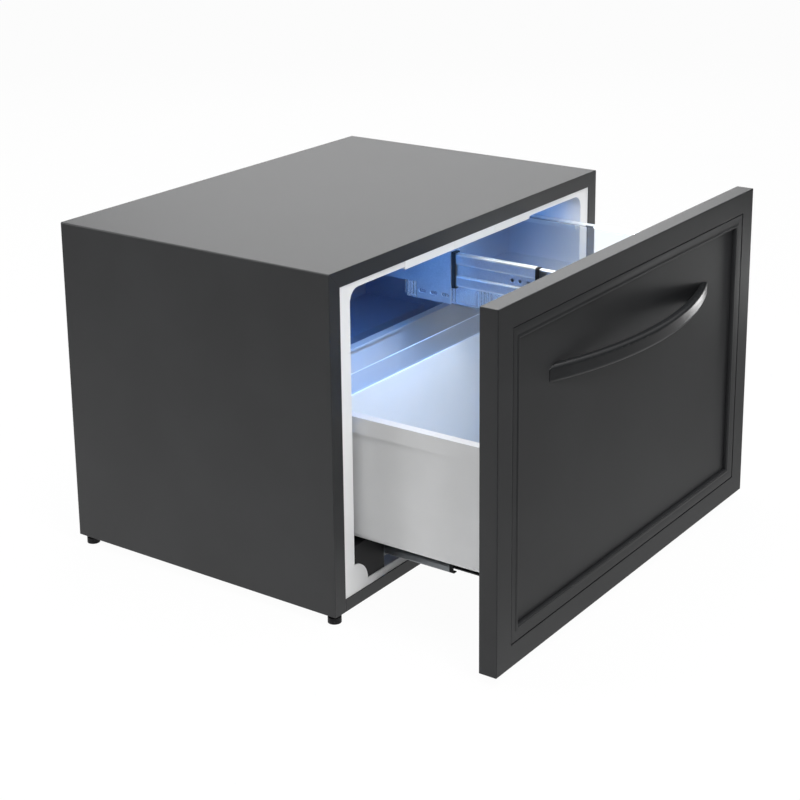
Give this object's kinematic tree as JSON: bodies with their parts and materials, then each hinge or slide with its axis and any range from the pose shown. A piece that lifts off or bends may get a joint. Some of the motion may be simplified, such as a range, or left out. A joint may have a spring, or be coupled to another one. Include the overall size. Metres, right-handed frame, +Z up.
{
  "type": "drawer minibar fridge",
  "caption": "Low black refrigerator with a pull-out drawer: bow-handled door, grey bottle tub, clear sliding tray and ball-bearing slides in a lit white liner.",
  "frame": {"origin": "on the floor, midway between the handle's crown and the heads of the rear screws, on the cabinet's centre line, with the drawer part open as stored", "axes": "+X to the right as seen from the front, +Y into the fridge towards its back, +Z up"},
  "size_m": [0.6, 0.651, 0.416],
  "materials": {
    "black_enamel": "satin fine texture",
    "galvanised": "zinc-plated",
    "screw_steel": "bright zinc",
    "white_liner": "satin",
    "foam": "rigid foam",
    "black_plastic": "moulded",
    "black_rail": "black zinc",
    "lamp_white": "satin",
    "lens": "frosted",
    "clear_plastic": "clear moulding",
    "grey_tub": "satin moulding",
    "door_steel": "dark brushed",
    "gasket": "soft",
    "cooling_aluminium": "rolled",
    "copper": "drawn tube",
    "compressor_paint": "gloss"
  },
  "bodies": {
    "cabinet": {"cabinet_wrapper": "black_enamel", "base_pan": "black_enamel", "front_bottom_rail": "black_enamel", "back_panel": "galvanised", "insulation_foam": "foam", "liner": "white_liner", "machine_bulkhead": "galvanised", "feet": "black_plastic", "rear_screws": "screw_steel", "lamp_housings": "lamp_white", "control_cover": "black_plastic", "lamp_lenses": "lens", "evaporator_plate": "cooling_aluminium", "hangers": "galvanised", "upper_outer_rail": "galvanised", "upper_end_stop": "black_plastic", "tray_guide": "white_liner", "runner_block_left": "black_plastic", "runner_block_right": "black_plastic", "lower_outer_rail_left": "galvanised", "lower_outer_rail_right": "galvanised", "compressor": "compressor_paint", "compressor_base": "galvanised", "compressor_grommets": "gasket", "start_box": "black_plastic", "condenser_coil": "copper", "condenser_fins": "cooling_aluminium", "suction_pipe": "copper", "filter_dryer": "copper", "electrical_box": "black_plastic", "power_inlet": "black_plastic"},
    "lower_runners": {"lower_middle_rail_left": "galvanised", "lower_middle_rail_right": "galvanised", "lower_bumpers": "black_plastic"},
    "upper_runner": {"upper_middle_rail": "galvanised", "upper_bumper": "black_plastic"},
    "drawer": {"door_frame": "door_steel", "door_bevel": "door_steel", "door_panel": "door_steel", "door_foam": "foam", "door_inner_panel": "white_liner", "door_gasket": "gasket", "handle": "door_steel", "handle_screws": "screw_steel", "tub": "grey_tub", "divider_wall": "grey_tub", "guard": "clear_plastic", "lower_inner_rail_left": "black_rail", "lower_inner_rail_right": "black_rail", "rail_latches": "black_plastic", "door_brackets": "galvanised", "tub_brackets": "galvanised", "bracket_screws": "screw_steel"},
    "tray": {"tray": "clear_plastic", "upper_inner_rail": "galvanised", "tray_clips": "clear_plastic"}
  },
  "joints": [
    {"name": "drawer_slide", "type": "slide", "parent": "cabinet", "child": "drawer", "axis": [0, -1, 0], "range_m": [-0.18765, 0.06]},
    {"name": "lower_runner_slide", "type": "slide", "parent": "cabinet", "child": "lower_runners", "axis": [0, -1, 0], "range_m": [-0.094, 0.0301]},
    {"name": "upper_runner_slide", "type": "slide", "parent": "cabinet", "child": "upper_runner", "axis": [0, -1, 0], "range_m": [-0.094, 0.0301]},
    {"name": "tray_slide", "type": "slide", "parent": "drawer", "child": "tray", "axis": [0, 1, 0], "range_m": [0, 0.04]}
  ],
  "couplings": [
    {"joint": "lower_runner_slide", "follows": "drawer_slide", "ratio": 0.5},
    {"joint": "upper_runner_slide", "follows": "drawer_slide", "ratio": 0.5}
  ]
}
